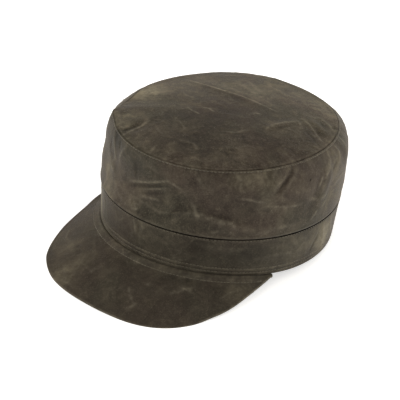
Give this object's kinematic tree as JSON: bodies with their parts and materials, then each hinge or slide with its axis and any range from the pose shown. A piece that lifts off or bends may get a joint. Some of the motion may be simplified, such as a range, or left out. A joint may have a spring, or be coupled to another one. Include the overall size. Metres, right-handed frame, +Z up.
{
  "type": "patrol cap",
  "caption": "Flat-topped patrol cap of waxed cotton with an oval top, a tall side wall, a plain band and a stiff sloping peak, standing by itself.",
  "frame": {"origin": "on the surface that the cap stands on, under the middle of its length and width", "axes": "+Z up, the peak points to -Y, and the wearer's left is +X"},
  "size_m": [0.1874, 0.2579, 0.1102],
  "materials": {
    "waxed_cotton": "dark olive-brown waxed cotton, softly mottled, with pale creases where the wax has cracked",
    "sewing_thread": "dull olive-brown sewing thread, slightly paler than the cloth"
  },
  "bodies": {
    "root": {"crown_top": "waxed_cotton", "crown_side": "waxed_cotton", "band": "waxed_cotton", "peak": "waxed_cotton"}
  },
  "joints": []
}
